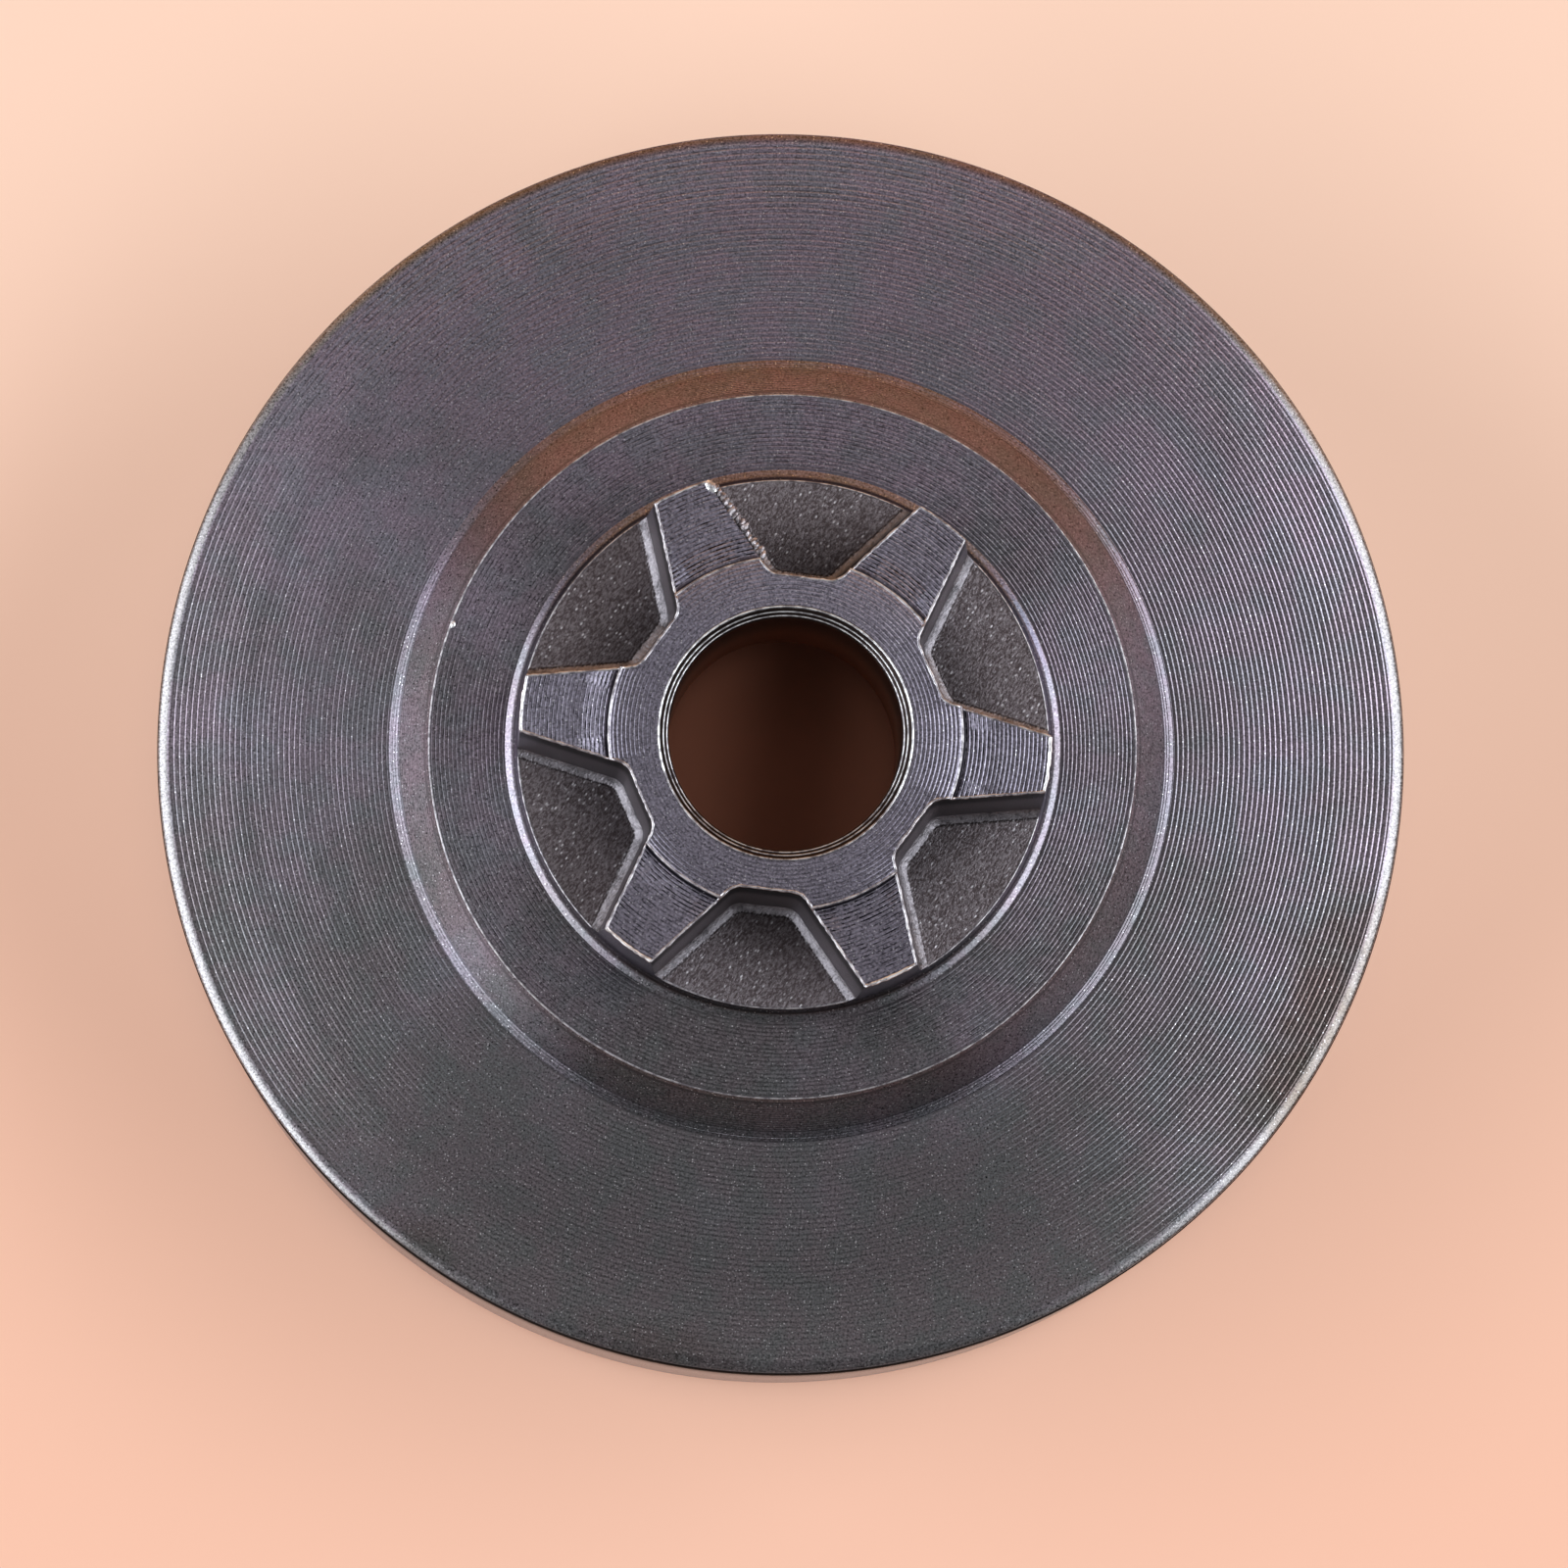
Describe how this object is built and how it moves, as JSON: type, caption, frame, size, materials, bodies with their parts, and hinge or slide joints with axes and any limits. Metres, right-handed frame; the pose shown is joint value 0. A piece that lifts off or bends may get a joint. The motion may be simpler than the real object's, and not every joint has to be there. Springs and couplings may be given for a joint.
{
  "type": "chainsaw clutch drum",
  "caption": "Turned steel clutch drum for a chainsaw: a shallow cup that clutch shoes grip from inside, with a toothed spur sprocket for the saw chain and a needle-bearing bore on its back.",
  "frame": {"origin": "centre of the open rim's plane, on the spin axis", "axes": "+Z along the spin axis, from the open mouth of the cup to the sprocket; +X through the middle of one tooth"},
  "size_m": [0.0705, 0.0704, 0.0251],
  "materials": {
    "dark_steel": "dark oxide over fine turning grooves, rough as-cast gullets"
  },
  "bodies": {
    "root": {"clutch_drum": "dark_steel"}
  },
  "joints": []
}
